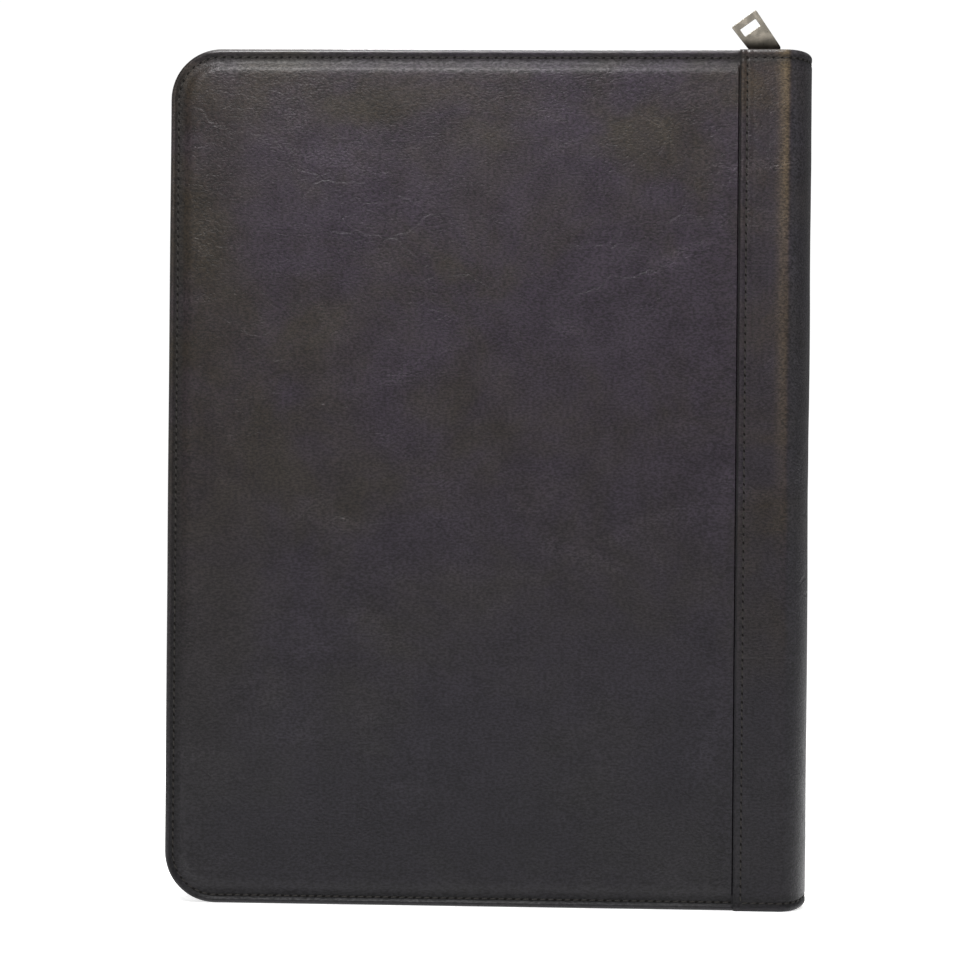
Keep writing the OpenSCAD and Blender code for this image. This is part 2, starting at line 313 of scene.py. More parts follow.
class Finish:
    """A node material. add() makes any node: its settings are set first, and then its inputs."""

    def __init__(self, name, rest_place=True, **constants):
        self.material = bpy.data.materials.new(name)
        self.material.use_nodes = True
        self.tree = self.material.node_tree
        self.tree.nodes.clear()
        self.shader = self.tree.nodes.new("ShaderNodeBsdfPrincipled")
        output = self.tree.nodes.new("ShaderNodeOutputMaterial")
        self.tree.links.new(self.shader.outputs[0], output.inputs["Surface"])
        for socket, value in constants.items():
            self.shader.inputs[socket.replace("_", " ")].default_value = value
        if rest_place:
            self.place = self.add("ShaderNodeAttribute", {"attribute_name": "place"}, output="Vector")
        else:
            self.place = self.add("ShaderNodeTexCoord", output="Object")

    def add(self, kind, settings=None, inputs=None, output=0):
        node = self.tree.nodes.new(kind)
        for name, value in (settings or {}).items():
            setattr(node, name, value)
        for key, value in (inputs or {}).items():
            if isinstance(value, Value):
                self.tree.links.new(value.socket, node.inputs[key])
            else:
                node.inputs[key].default_value = value
        return Value(self, node.outputs[output])

    def axes(self, vector=None):
        vector = vector or self.place
        return [self.add("ShaderNodeSeparateXYZ", inputs={0: vector}, output=i) for i in range(3)]

    def vector_math(self, operation, inputs):
        return self.add("ShaderNodeVectorMath", {"operation": operation}, inputs)

    def stretched(self, scale):
        return self.add("ShaderNodeMapping", inputs={"Vector": self.place, "Scale": scale})

    def noise(self, size_mm, detail=4.0, roughness=0.55, distortion=0.0, vector=None):
        """Even noise from 0 to 1, with features about size_mm across."""
        inputs = {"Vector": vector or self.place, "Scale": 1 / (size_mm * MM), "Detail": detail,
                  "Roughness": roughness, "Distortion": distortion}
        return self.add("ShaderNodeTexNoise", inputs=inputs)

    def cells(self, size_mm, feature="F1", vector=None):
        inputs = {"Vector": vector or self.place, "Scale": 1 / (size_mm * MM)}
        return self.add("ShaderNodeTexVoronoi", {"feature": feature}, inputs)

    def bent(self, size_mm, amount_mm, scale=(1, 1, 1)):
        """The rest place, pushed about by noise, so that cells take crooked sides."""
        inputs = {"Vector": self.place, "Scale": 1 / (size_mm * MM), "Detail": 3.0}
        wander = self.add("ShaderNodeTexNoise", inputs=inputs, output="Color")
        centred = self.vector_math("SUBTRACT", {0: wander, 1: (0.5, 0.5, 0.5)})
        push = self.vector_math("SCALE", {0: centred, "Scale": amount_mm * MM})
        return self.vector_math("ADD", {0: self.stretched(scale), 1: push})

    def mix(self, factor, first, second):
        """A colour between two colours, which are sockets or (r, g, b)."""
        first, second = (c if isinstance(c, Value) else (*c, 1) for c in (first, second))
        return self.add("ShaderNodeMix", {"data_type": "RGBA"}, {0: factor, 6: first, 7: second}, output=2)

    def bump(self, height, depth_mm, under=None):
        inputs = {"Height": height, "Strength": 1.0, "Distance": depth_mm * MM}
        if under is not None:
            inputs["Normal"] = under
        return self.add("ShaderNodeBump", inputs=inputs)

    def set(self, **sockets):
        for name, value in sockets.items():
            self.tree.links.new(value.socket, self.shader.inputs[name.replace("_", " ")])
        return self.material


def edge_distance(leather):
    """How far a place is from a cover's sewn edge: free side, head or foot, in metres."""
    x, _, z = leather.axes()
    nearest = (x - FREE_X * MM).math("MINIMUM", z)
    return nearest.math("MINIMUM", HEIGHT * MM - z)


def leather_finish(name, cool, warm, wear_and_painted_light=None, shine=0.0):
    """Burnished full-grain leather: mottled colour, a fine lying grain, soft growth creases, sewn grooves
    darkened as painted shade, painted light that makes it brighter towards the head, a darker, cooler foot
    that is partly painted shade and partly a cooler tone, and polished edges."""
    leather = Finish(name, Coat_Roughness=0.34, Specular_IOR_Level=0.2)
    patches = leather.noise(55, detail=5, roughness=0.6, distortion=0.4).between(0.42, 0.72)
    clouds = leather.noise(17, detail=6, roughness=0.65).between(0.3, 0.7)
    lying = leather.noise(0.75, detail=3, roughness=0.6, vector=leather.stretched((0.55, 1, 1)))
    speckle = lying.between(0.34, 0.66)
    bands = leather.noise(34, detail=4, distortion=1.2, vector=leather.stretched((0.7, 1, 1.3)))
    bands = bands.between(0.55, 0.68)
    colour = leather.mix(patches, cool, warm)
    if wear_and_painted_light:
        colour = wear_and_painted_light(leather, colour)
    edge = edge_distance(leather)
    # The band of the sewn groove, about 1.3 to 7 mm in from the edge: below, its colour is darkened as
    # painted shade, and it is made rougher
    groove = edge.between(1.3 * MM, 2.4 * MM) * (1 - edge.between(4.0 * MM, 7.0 * MM))
    high = leather.axes()[2] / (HEIGHT * MM)
    # Darker and cooler towards the foot: partly painted shade, partly a cooler tone of the leather
    colour = leather.mix((1 - high.between(0.0, 0.6)) * 0.8, colour, (0.0172, 0.0158, 0.0215))
    polish = (1 - edge.between(0.9 * MM, 1.9 * MM)) * (0.1 + high.between(0.1, 0.9) * 0.9)
    mottle = 0.3 + clouds * 0.26 + speckle * (0.84 + bands * 0.3)
    # Painted light and shade: the mottle is darkened in the groove and made brighter towards the head, as
    # light from above would make it
    mottle_with_painted_light = mottle * (1 - groove * 0.5) * (0.39 + high * 0.75)
    tone = leather.add("ShaderNodeCombineColor", inputs={0: mottle_with_painted_light, 1: mottle_with_painted_light, 2: mottle_with_painted_light})
    settings = {"data_type": "RGBA", "blend_type": "MULTIPLY"}
    base = leather.add("ShaderNodeMix", settings, {0: 1.0, 6: colour, 7: tone}, output=2)

    pebble = leather.cells(0.7, vector=leather.bent(2.2, 0.5))
    long_lines = leather.cells(21, "DISTANCE_TO_EDGE", leather.bent(30, 26))
    long_mask = leather.noise(46, detail=2).between(0.52, 0.66)
    creases = (1 - long_lines.between(0.005, 0.05)) * long_mask
    fine_lines = leather.cells(5, "DISTANCE_TO_EDGE", leather.bent(7, 8, (0.5, 1, 1)))
    fine = (1 - fine_lines.between(0.0, 0.16)) * leather.noise(30, detail=2).between(0.42, 0.66)
    grain = pebble * 0.4 + lying * (1.4 + bands * 0.7) - fine * 0.45 - creases * 0.8
    relief = leather.bump(leather.noise(26, detail=3), 0.45)
    normal = leather.bump(grain, 0.13, under=relief)

    rough = 0.45 + clouds * 0.1 - speckle * 0.14 + groove * 0.22 - polish * 0.12 - shine
    coat = 0.02 + patches * 0.05 + speckle * 0.04 + polish * 0.8
    return leather.set(Base_Color=base, Roughness=rough, Coat_Weight=coat, Normal=normal)


def edge_warmth(leather, colour):
    """The covers' dye is thinner and browner towards the free side."""
    x = leather.axes()[0]
    cloud = leather.noise(24, detail=4).between(0.3, 0.7)
    near_side = 1 - x.between((FREE_X + 8) * MM, (FREE_X + 48) * MM)
    return leather.mix(near_side * (0.35 + cloud * 0.65), colour, (0.0165, 0.0125, 0.0085))


def strip_burnish_and_painted_light(leather, colour):
    """A golden burnished tone where the strip turns round the spine, with a painted highlight over it that
    is stronger towards the head, a cooler round beyond it, and a near-black line of painted shadow along the
    seam."""
    x, _, z = leather.axes()
    rise = x.between((FLAT_X - 6) * MM, (FLAT_X + 0.3) * MM)
    bend = rise * rise * (1 - x.between((FLAT_X + 1.2) * MM, (FLAT_X + 3.1) * MM))
    streaks = leather.noise(9, vector=leather.stretched((1, 1, 0.12))).between(0.3, 0.7)
    height = z.between(0.3 * HEIGHT * MM, 0.95 * HEIGHT * MM)
    # Painted highlight on a burnished tone: the golden band at the bend grows stronger towards the head, as
    # light from above would light it
    burnish_and_highlight = bend * (0.3 + streaks * 0.4) * (0.04 + height * 0.96)
    gold = leather.mix(burnish_and_highlight, colour, (0.082, 0.060, 0.034))
    beyond = x.between((FLAT_X + 1.8) * MM, (FLAT_X + 3.8) * MM)
    rounded = leather.mix(beyond * 0.7, gold, (0.0185, 0.0175, 0.021))
    # Painted shadow: a near-black line along the strip's edge at the seam, where the strip's edge casts its
    # shadow
    seam_shadow = 1 - x.between((SEAM_X + 0.3) * MM, (SEAM_X + 0.9) * MM)
    return leather.mix(seam_shadow * 0.9, rounded, (0.003, 0.003, 0.003))


def thread_finish_material():
    thread = Finish("thread", Roughness=0.62, Specular_IOR_Level=0.25)
    x, y, z = thread.axes()
    twist = ((x + y + z) * (2 * math.pi / (0.34 * MM))).sine()
    fuzz = thread.noise(0.3, detail=2)
    colour = thread.mix(fuzz, (0.009, 0.008, 0.0075), (0.028, 0.025, 0.021))
    return thread.set(Base_Color=colour, Normal=thread.bump(twist * 0.5 + fuzz * 0.5, 0.06))


def hole_shade_material():
    # Painted shade: each needle hole is a solid blob coloured near black, standing in for the shade inside
    # the hole
    hole = Finish("needle_hole_shade", Specular_IOR_Level=0.1)
    fuzz = hole.noise(0.3, detail=2)
    return hole.set(Base_Color=hole.mix(fuzz, (0.002, 0.002, 0.002), (0.008, 0.007, 0.006)),
                    Roughness=0.8 + fuzz * 0.15)


def lining_finish_material():
    """Short brushed nap over a fine knit."""
    lining = Finish("lining_nap", Sheen_Weight=0.35, Sheen_Roughness=0.4, Specular_IOR_Level=0.2)
    brushed = lining.noise(11, vector=lining.stretched((1, 1, 0.5)), detail=6, roughness=0.7)
    nap = lining.noise(0.5, detail=3)
    pale = brushed.between(0.25, 0.75) * 0.3 + nap * 0.6
    colour = lining.mix(pale, (0.020, 0.0165, 0.0155), (0.05, 0.043, 0.039))
    return lining.set(Base_Color=colour, Roughness=0.82 + nap * 0.12, Normal=lining.bump(nap, 0.12))


def tape_finish_material():
    """Herringbone tape, woven along the chain from the piece's own lengthwise map."""
    tape = Finish("woven_tape", Sheen_Weight=0.15, Specular_IOR_Level=0.25)
    mapped = tape.add("ShaderNodeUVMap", {"uv_map": "run"})
    along, across, _ = tape.axes(mapped)
    tau = 2 * math.pi
    wale = (across * (tau / 0.9)).sine()
    rib = ((along + wale * 0.25) * (tau / 0.55)).sine() * 0.5 + 0.5
    weave = rib * 0.65 + (wale * 0.5 + 0.5) * 0.35
    lint = tape.noise(1.1, detail=4)
    colour = tape.mix(weave * 0.6 + lint * 0.4, (0.006, 0.006, 0.007), (0.032, 0.031, 0.033))
    return tape.set(Base_Color=colour, Roughness=0.7 + lint * 0.2, Normal=tape.bump(weave, 0.12))


def metal_finish(name, bright, dull, rough=0.27, painted_dark_below=None):
    """Satin antique nickel, brushed, with darker tarnish in patches. If asked, it is painted near black
    below the first height, as painted shade and dark reflection, and clear above the second."""
    metal = Finish(name, Metallic=1.0)
    brushed = metal.noise(0.5, vector=metal.stretched((1, 1, 0.08)), detail=3)
    tarnish = metal.noise(3.5, detail=5).between(0.4, 0.72)
    colour = metal.mix(tarnish * 0.55, bright, dull)
    if painted_dark_below:
        low, high = painted_dark_below
        clear = metal.axes()[2].between(low * MM, high * MM)
        # Painted shade and dark reflection: near black low on the piece, clearing by the second height
        colour = metal.mix(clear, (0.02, 0.017, 0.014), colour)
    return metal.set(Base_Color=colour, Roughness=rough + brushed * 0.1 + tarnish * 0.16,
                     Normal=metal.bump(brushed, 0.012))


def board_finish_material():
    board = Finish("grey_board", rest_place=False)
    fibre = board.noise(1.5, detail=6, roughness=0.7)
    return board.set(Base_Color=board.mix(fibre, (0.3, 0.27, 0.22), (0.5, 0.46, 0.4)),
                     Roughness=0.8 + fibre * 0.15, Normal=board.bump(fibre, 0.1))


def foam_finish_material():
    foam = Finish("foam", rest_place=False, Specular_IOR_Level=0.2)
    pores = foam.cells(0.8)
    return foam.set(Base_Color=foam.mix(pores, (0.5, 0.47, 0.4), (0.76, 0.74, 0.68)),
                    Roughness=0.85 + pores * 0.1, Normal=foam.bump(pores, 0.3))


cover_finish = leather_finish("cover_leather", (0.0205, 0.0152, 0.0222), (0.0195, 0.0152, 0.0118),
                              edge_warmth)
strip_finish = leather_finish("strip_leather", (0.0185, 0.0145, 0.019), (0.025, 0.018, 0.0115),
                              strip_burnish_and_painted_light, 0.02)
pocket_finish = leather_finish("pocket_leather", (0.024, 0.021, 0.022), (0.028, 0.023, 0.019))
thread_finish = thread_finish_material()
hole_shade_finish = hole_shade_material()
lining_finish = lining_finish_material()
tape_finish = tape_finish_material()
chain_finish = metal_finish("chain_nickel", (0.46, 0.43, 0.38), (0.17, 0.15, 0.13))
# The puller plate is painted dark near its foot, where it goes down behind the cover: painted shade and dark
# reflection
puller_finish = metal_finish("puller_nickel", (0.44, 0.40, 0.335), (0.25, 0.22, 0.18), rough=0.24,
                             painted_dark_below=(HEIGHT + 3.0, HEIGHT + 9.5))
board_finish = board_finish_material()
foam_finish = foam_finish_material()


# ---------------------------------------------------------------- covers

# The outer face from the rolled edge inwards: distance from the edge, and height
ROLLED_EDGE = 0.5
COVER_PROFILE = [
    (0.0, MARGIN_Z - 1.4), (0.16, MARGIN_Z - 0.9), (0.5, MARGIN_Z - 0.42), (1.0, MARGIN_Z - 0.08),
    (1.4, MARGIN_Z), (1.8, MARGIN_Z - 0.16), (2.2, MARGIN_Z - 0.5), (2.7, MARGIN_Z - 0.8),
    (3.3, MARGIN_Z - 0.86), (4.2, MARGIN_Z - 0.82), (5.2, MARGIN_Z - 0.66), (6.1, MARGIN_Z - 0.3),
    (7.0, MARGIN_Z + 0.18), (7.9, MARGIN_Z + 0.62), (8.9, MARGIN_Z + 0.88), (10.2, PANEL_Z - 0.02),
    (12.2, PANEL_Z),
]
# The turned hem under it, step by step: how far in, and how far towards the lining
HEM_STEPS = ((0.15, 0.35), (0.4, ROLLED_EDGE - 0.35), (11.4, 0), (0.1, -0.7))
GROOVE_Z = MARGIN_Z - 0.86
GRID_STEP = 4.0


def cover_swell(x, y):
    """How far the padded panel stands above or below its own level."""
    inside = min(x - FREE_X, y, HEIGHT - y, SEAM_X - x)
    loose = smooth(4, 26, inside)
    swell = 0.22 * ripple(x, y, 46, 2.7) + 0.1 * ripple(x, y, 17, 8.1)
    return loose * (swell + 0.12)


def rounded_face(bm, low, high, z, radius, corners):
    """A flat face between two [x, y] corners, with the corners that `corners` picks rounded."""
    size = Matrix.Diagonal((high[0] - low[0], high[1] - low[1], 1, 1))
    middle = Matrix.Translation(((low[0] + high[0]) / 2, (low[1] + high[1]) / 2, z))
    bmesh.ops.create_grid(bm, x_segments=1, y_segments=1, size=0.5, matrix=middle @ size)
    chosen = [v for v in bm.verts if corners(v.co)]
    bevel(bm, chosen, radius, 16, "VERTICES")
    return bm.faces[:]


def cut_across(bm, axis, places, clear_outer=False):
    """Cuts the whole mesh at each place along an axis and, if asked, takes away what is past it."""
    normal = Vector([float(i == axis) for i in range(3)])
    for place in places:
        everything = bm.verts[:] + bm.edges[:] + bm.faces[:]
        bmesh.ops.bisect_plane(bm, geom=everything, plane_co=normal * place, plane_no=normal,
                               clear_outer=clear_outer)


def steps_between(low, high, step):
    count = math.ceil((high - low) / step)
    return [low + (high - low) * i / count for i in range(1, count)]


def make_cover_skin(side):
    """The cover's leather: rolled edge, stitched groove, soft shoulder and padded panel, in one shell
    with room for the board and the foam."""
    bm = bmesh.new()
    past_end = FLAT_X + 30
    is_free = lambda co: co.x < 0
    faces = rounded_face(bm, (FREE_X, 0), (past_end, HEIGHT), COVER_PROFILE[0][1], CORNER_R, is_free)
    grown = bmesh.ops.extrude_face_region(bm, geom=faces)
    below = [e for e in grown["geom"] if isinstance(e, bmesh.types.BMVert)]
    bmesh.ops.translate(bm, verts=below, vec=(0, 0, HEM_Z + ROLLED_EDGE - COVER_PROFILE[0][1]))
    top = max(bm.faces, key=lambda f: f.calc_center_median().z)
    bottom = min(bm.faces, key=lambda f: f.calc_center_median().z)
    bmesh.ops.recalc_face_normals(bm, faces=bm.faces)
    for before, after in zip(COVER_PROFILE, COVER_PROFILE[1:]):
        bmesh.ops.inset_region(bm, faces=[top], use_even_offset=True, thickness=after[0] - before[0],
                               depth=after[1] - before[1])
    for thickness, depth in HEM_STEPS:
        bmesh.ops.inset_region(bm, faces=[bottom], use_even_offset=True, thickness=thickness, depth=depth)
    near_seam = [SEAM_X + d for d in (-5, -3, -1.8, -1.15, -0.85, -0.6, -0.35, -0.1, 0.3)]
    cut_across(bm, 0, steps_between(FREE_X + CORNER_R, SEAM_X - 5, GRID_STEP) + near_seam)
    cut_across(bm, 1, steps_between(CORNER_R, HEIGHT - CORNER_R, GRID_STEP))
    cut_across(bm, 0, [COVER_END], clear_outer=True)
    bmesh.ops.holes_fill(bm, edges=[e for e in bm.edges if e.is_boundary])
    under_strip = MARGIN_Z - 0.25
    for v in bm.verts:
        if v.co.z > MARGIN_Z - 1:
            x, y = v.co.x, v.co.y
            v.co.z += cover_swell(x, y)
            dip = smooth(SEAM_X - 0.6, SEAM_X - 0.1, x)
            v.co.z += dip * (min(v.co.z, under_strip) - v.co.z)
        edge = min(v.co.x - FREE_X, v.co.y, HEIGHT - v.co.y)
        if edge < 2.5 and v.co.x < SEAM_X - 4:
            v.co.y += 0.12 * ripple(v.co.x, 0, 60, 4.0) * (1 if v.co.y > HEIGHT / 2 else 0)
            v.co.x += 0.14 * ripple(v.co.y, 0, 70, 5.0) * (1 if v.co.x < FREE_X + 3 else 0)
    place = SIDES[side]
    body = side + "_cover"
    skin = finish_piece(bm, side + "_cover_skin", cover_finish, place, body, 60)
    for inner in (side + "_cover_board", side + "_cover_foam"):
        cutter = bmesh.new()
        cutter.from_mesh(frame["nodes"][inner].data)
        bmesh.ops.remove_doubles(cutter, verts=cutter.verts, dist=0.001 * MM)
        mesh = bpy.data.meshes.new("cutter")
        cutter.to_mesh(mesh)
        cutter.free()
        tool = bpy.data.objects.new("cutter", mesh)
        bpy.context.scene.collection.objects.link(tool)
        hollow = skin.modifiers.new("hollow", "BOOLEAN")
        hollow.operation, hollow.object, hollow.solver = "DIFFERENCE", tool, "EXACT"
        apply_modifiers(skin)
        bpy.data.objects.remove(tool)
    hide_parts(side + "_cover_leather")

    path = OutlinePath(STITCH_INSET, SEAM_X - 1.2, SEAM_X - 1.2)
    count = round(path.total / STITCH_PITCH)
    pitch = path.total / count
    threads, holes = bmesh.new(), bmesh.new()
    for i in range(count):
        (x, y), along, _ = path.at((i + 0.5) * pitch)
        point = Vector((x, y, GROOVE_Z + 0.1))
        add_stitch(threads, holes, point, Vector((*along, 0)), Vector((0, 0, 1)), pitch)
    finish_stitches(threads, holes, side + "_edge_stitches", place, body)


# ---------------------------------------------------------------- spine strip


class SpineSection:
    """The strip's run from a cover's seam to the crown, by length along the leather."""

    def __init__(self, depth=0.0, start_x=None):
        self.a, self.b = BULGE - depth, HALF_T - depth
        self.start_x = SEAM_X if start_x is None else start_x
        self.flat = FLAT_X - self.start_x
        turns = [math.pi / 2 * (1 - i / 240) for i in range(241)]
        points = [(self.a * math.cos(t), self.b * math.sin(t)) for t in turns]
        self.marks = [0.0]
        for p, q in zip(points, points[1:]):
            self.marks.append(self.marks[-1] + math.dist(p, q))
        self.turns = turns
        self.length = self.flat + self.marks[-1]

    def at(self, s):
        """The point [x, y] and the outward normal, s along the leather."""
        if s <= self.flat:
            return Vector((self.start_x + s, self.b)), Vector((0, 1))
        s = min(s - self.flat, self.marks[-1])
        i = min(max(next(k for k, m in enumerate(self.marks) if m >= s), 1), 240)
        share = (s - self.marks[i - 1]) / (self.marks[i] - self.marks[i - 1])
        turn = self.turns[i - 1] + (self.turns[i] - self.turns[i - 1]) * share
        normal = Vector((self.b * math.cos(turn), self.a * math.sin(turn))).normalized()
        return Vector((FLAT_X + self.a * math.cos(turn), self.b * math.sin(turn))), normal


STRIP = SpineSection()
HEAD_DIP, FOOT_DIP = 0.9, 1.9


def strip_relief(s, z):
    """How far the strip's face stands off its section: turned lip, stitch line, hems and slack."""
    end = min(z, HEIGHT - z)
    lip = 0.2 * hump(1.4, 1.3, s) - 0.5 * (1 - smooth(0, 1.0, s))
    seam = -0.2 * hump(SEAM_STITCH, 0.9, s) - 0.07 * hump(5.6, 1.2, s)
    hem = -0.38 * hump(STITCH_INSET, 1.5, end) - 0.45 * (1 - smooth(0, 0.7, end))
    slack = smooth(8, 24, s) * smooth(4, 30, end)
    wave = 0.3 * ripple(z, s, 52, 3.3) + 0.08 * ripple(z, s, 17, 6.1)
    return lip + seam + hem + slack * wave


def strip_point(s, z, lift=0.0):
    """A point on the strip's outer face, in the row frame with the front at +y, and its normal."""
    where, normal = STRIP.at(s)
    where = where + normal * (strip_relief(s, z) + lift)
    round_share = smooth(STRIP.flat, STRIP.length, s) ** 1.3
    from_middle = z / HEIGHT * 2 - 1
    dip = HEAD_DIP if from_middle > 0 else FOOT_DIP
    squeeze = dip * round_share * from_middle * smooth(0.8, 1.0, abs(from_middle))
    return Vector((where.x, where.y, z - squeeze)), Vector((normal.x, normal.y, 0))


def spaced(length, fine, coarse, fine_until):
    """Places from 0 to length, close together at both ends of the first fine_until."""
    near = [i * fine for i in range(int(fine_until / fine) + 1)]
    return near + steps_between(near[-1], length, coarse) + [length]


def mapped_sheet(columns, rows, point):
    """A grid with its vertices at point(column, row)."""
    bm = bmesh.new()
    bmesh.ops.create_grid(bm, x_segments=len(columns) - 1, y_segments=len(rows) - 1, size=0.5)
    for v in bm.verts:
        i = round((v.co.x + 0.5) * (len(columns) - 1))
        j = round((v.co.y + 0.5) * (len(rows) - 1))
        v.co = point(columns[i], rows[j])
    return bm


def facing(side, point):
    """Mirrors a point made at +y to the cover it belongs to."""
    return Vector((point.x, -point.y if side == "front" else point.y, point.z))


def thicken(bm, thickness, inside):
    """Gives a sheet its thickness on the side towards `inside`."""
    bmesh.ops.recalc_face_normals(bm, faces=bm.faces)
    face = min(bm.faces, key=lambda f: abs(f.calc_center_median().z - HEIGHT / 2))
    if face.normal.dot(inside - face.calc_center_median()) > 0:
        bmesh.ops.reverse_faces(bm, faces=bm.faces)
    bmesh.ops.solidify(bm, geom=bm.faces[:], thickness=thickness)


def bend_over_fold(piece, side):
    """Bakes a piece's place into its mesh. The fold's start and end are worked out for the piece's side but
    not used, so the piece is not bent over the fold.
    """
    y = -1 if side == "front" else 1
    start = Vector((FLAT_X - FOLD_START_SLIP, y * HALF_T, 0)) * MM
    end = Vector((CROWN_X - 1.5, y * HALF_T * 0.45, 0)) * MM
    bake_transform(piece)


def make_strip(side):
    """Half of the spine's leather strip, from a cover's seam to the crown, with its stitch rows."""
    columns = spaced(STRIP.length, 0.35, 1.0, 7.0)
    ends = spaced(HEIGHT / 2, 0.45, 2.6, 6.3)
    rows = ends + [HEIGHT - z for z in reversed(ends[:-1])]
    bm = mapped_sheet(columns, rows, lambda s, z: facing(side, strip_point(s, z)[0]))
    thicken(bm, STRIP_T - 0.1, Vector((FLAT_X, 0, HEIGHT / 2)))
    strip = finish_piece(bm, side + "_spine_strip", strip_finish, sharp_deg=50)
    bend_over_fold(strip, side)
    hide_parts(side + "_spine_flap", *(["spine_leather"] if side == "front" else []))

    threads, holes = bmesh.new(), bmesh.new()

    def sew(start, end):
        """One row between two [s, z] places on the strip."""
        length = math.dist(start, end)
        count = round(length / STITCH_PITCH)
        for i in range(count):
            s, z = (start[k] + (end[k] - start[k]) * (i + 0.5) / count for k in (0, 1))
            point, normal = strip_point(s, z, STITCH_LIFT)
            ds, dz = ((end[k] - start[k]) / length * 0.5 for k in (0, 1))
            ahead = strip_point(s + ds, z + dz, STITCH_LIFT)[0]
            point, ahead, normal = (facing(side, p) for p in (point, ahead, normal))
            add_stitch(threads, holes, point, (ahead - point).normalized(), normal, length / count)

    sew((SEAM_STITCH, STITCH_INSET), (SEAM_STITCH, HEIGHT - STITCH_INSET))
    for z in (STITCH_INSET, HEIGHT - STITCH_INSET):
        sew((SEAM_STITCH, z), (STRIP.length - 0.6, z))
    for row in finish_stitches(threads, holes, side + "_strip_stitches"):
        bend_over_fold(row, side)


def make_hinge_lining(side):
    """The lining that bridges a fold inside, from the cover's lining to the middle of the spine."""
    section = SpineSection(INNER_DEPTH + 0.35, FLAT_X - 9)
    foot, head = CHAIN_INSET + 4.5, CHAIN_Z - 4.5
    inner_z = LINING_Z - 0.3

    def point(s, z):
        where, _ = section.at(s)
        y = min(where.y, inner_z)
        return facing(side, Vector((where.x, y, z)))

    columns = spaced(section.length, 1.5, 1.2, 6)
    rows = [foot + (head - foot) * i / 60 for i in range(61)]
    bm = mapped_sheet(columns, rows, point)
    thicken(bm, 0.3, Vector((FREE_X, 0, HEIGHT / 2)))
    bridge = finish_piece(bm, side + "_hinge_lining", lining_finish, sharp_deg=60)
    bend_over_fold(bridge, side)
    if side == "front":
        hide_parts("spine_lining")


# ---------------------------------------------------------------- zip

TOOTH_PITCH = 2.4
TAPE_TOP_X = tape_high.x


def tooth_mesh():
    """One tooth, reaching along +y from the tape's edge across the middle, with x along the chain."""
    bm = bmesh.new()
    block = Matrix.Translation((0, 1.3, 0)) @ Matrix.Diagonal((1.35, 2.2, TOOTH_H, 1))
    bmesh.ops.create_cube(bm, size=1, matrix=block)
    front = max(bm.faces, key=lambda f: f.calc_center_median().y)
    bmesh.ops.inset_region(bm, faces=[front], thickness=0.2, depth=0.55, use_even_offset=True)
    bmesh.ops.inset_region(bm, faces=[front], thickness=0.05, depth=0.75, use_even_offset=True)
    outer = [e for e in bm.edges if e.calc_face_angle(0) > math.radians(40)]
    bevel(bm, outer, 0.18, 1)
    mesh = bpy.data.meshes.new("tooth")
    bm.to_mesh(mesh)
    bm.free()
    return mesh


def make_teeth(side, tooth):
    """A row of teeth, set half a pitch off the other row's so that the two close together."""
    path = OutlinePath(CHAIN_INSET, stop_low.x - 0.9, bottom_stop_low.x - 0.9)
    sign = 1 if side == "front" else -1
    shift = 0 if side == "front" else TOOTH_PITCH / 2
    bm = bmesh.new()
    for i in range(int((path.total - shift) / TOOTH_PITCH)):
        (x, z), (tx, tz), (nx, nz) = path.at(shift + i * TOOTH_PITCH)
        along, reach, out = Vector((tx, 0, tz)), Vector((0, sign, 0)), Vector((nx, 0, nz))
        place = Matrix((along, reach, out)).transposed().to_4x4()
        place = Matrix.Translation((x, -sign * TAPE_EDGE, z)) @ place
        stamp(bm, tooth, place)
    row = finish_piece(bm, side + "_chain_teeth", chain_finish, body=side + "_cover",
                       sharp_deg=30)
    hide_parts(side + "_zip_teeth")


def make_tape(side):
    """The woven tape: its border under the lining, its slanted web, and the edge that the teeth grip."""
    border, top = -tape_low.y - 0.35, LINING_BACK_Z
    inset = HEIGHT - tape_high.z
    profile = [(inset + 5.3, border), (inset + 3.5, border), (inset + 1.8, border),
               (inset + 0.7, border - 0.05), (inset + 0.35, top - 0.5)]
    web_start, web_end = Vector((inset + 0.45, top - 1.0)), Vector((CHAIN_INSET, TAPE_EDGE + 0.1))
    for i in range(9):
        d, y = web_start.lerp(web_end, i / 8)
        profile.append((d, y + 0.25 * math.sin(math.pi * i / 8)))
    marks = [0.0]
    for p, q in zip(profile, profile[1:]):
        marks.append(marks[-1] + math.dist(p, q))
    columns = [i / 360 for i in range(361)]
    sign = -1 if side == "front" else 1

    def end_x(y):
        room = max(0.0, 1 - (y / (HALF_T - INNER_DEPTH - 0.6)) ** 2)
        return min(TAPE_TOP_X, FLAT_X + (BULGE - INNER_DEPTH - 0.6) * math.sqrt(room))

    def point(share, j):
        d, y = profile[j]
        path = OutlinePath(0, end_x(y), end_x(y))
        (x, z), _, (nx, nz) = path.at(share * path.total)
        return Vector((x + nx * d, sign * y, z + nz * d))

    bm = mapped_sheet(columns, list(range(len(profile))), point)
    run = bm.loops.layers.uv.new("run")
    length = OutlinePath(0, TAPE_TOP_X, TAPE_TOP_X).total
    for face in bm.faces:
        for loop in face.loops:
            j, i = divmod(loop.vert.index, len(columns))
            loop[run].uv = (columns[i] * length, marks[j])
    thicken(bm, 0.5, Vector((0, sign * border, HEIGHT / 2)))
    tape = finish_piece(bm, side + "_woven_tape", tape_finish, body=side + "_cover",
                        sharp_deg=60)
    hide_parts(side + "_zip_tape")


